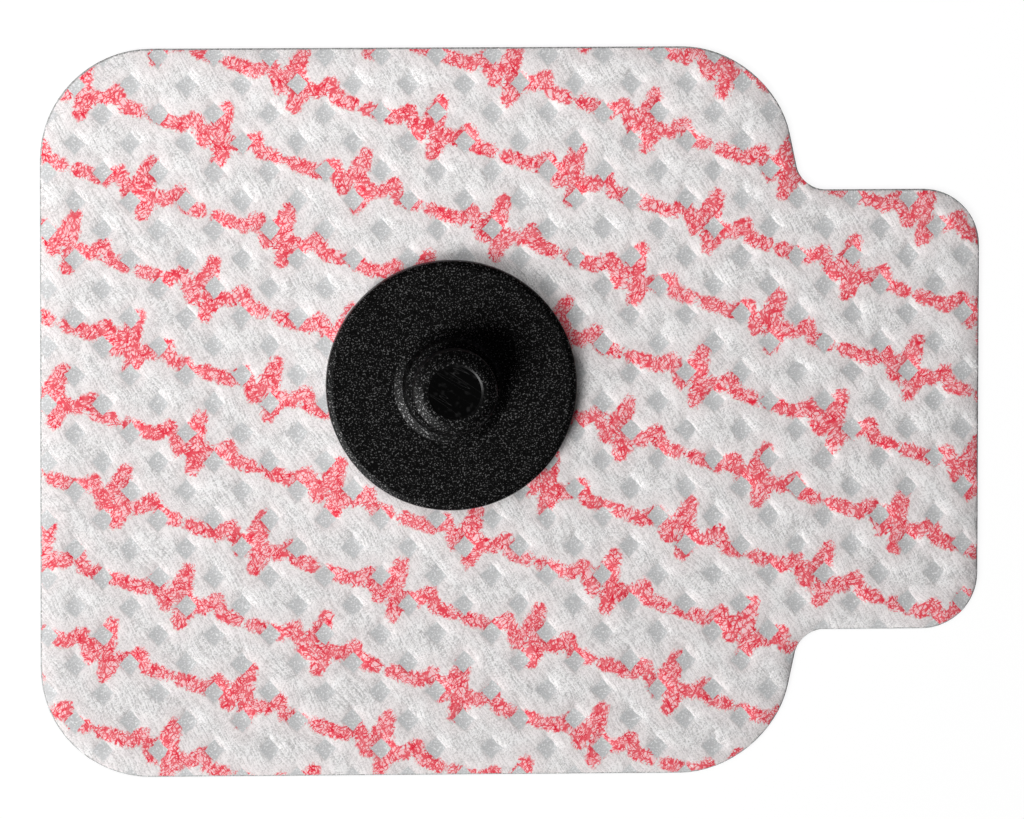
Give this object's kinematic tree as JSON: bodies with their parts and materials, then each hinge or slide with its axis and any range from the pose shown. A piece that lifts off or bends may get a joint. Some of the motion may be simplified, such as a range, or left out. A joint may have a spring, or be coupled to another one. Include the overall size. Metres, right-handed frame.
{
  "type": "ecg electrode",
  "caption": "Disposable ECG monitoring electrode: embossed white cloth pad with a pull tab, black snap stud, coated sensor eyelet and gel pad.",
  "frame": {"origin": "On the stud's axis, in the plane where the gel pad meets the skin.", "axes": "+Z points away from the skin along the stud, +X points to the pull tab, and +Y is across the cloth."},
  "size_m": [0.045, 0.035, 0.0044],
  "materials": {
    "cloth": "matte",
    "stud": "matte",
    "sensor": "satin",
    "gel": "gloss"
  },
  "bodies": {
    "root": {"backing_cloth": "cloth", "snap_stud": "stud", "sensor_eyelet": "sensor", "gel_pad": "gel"}
  },
  "joints": []
}
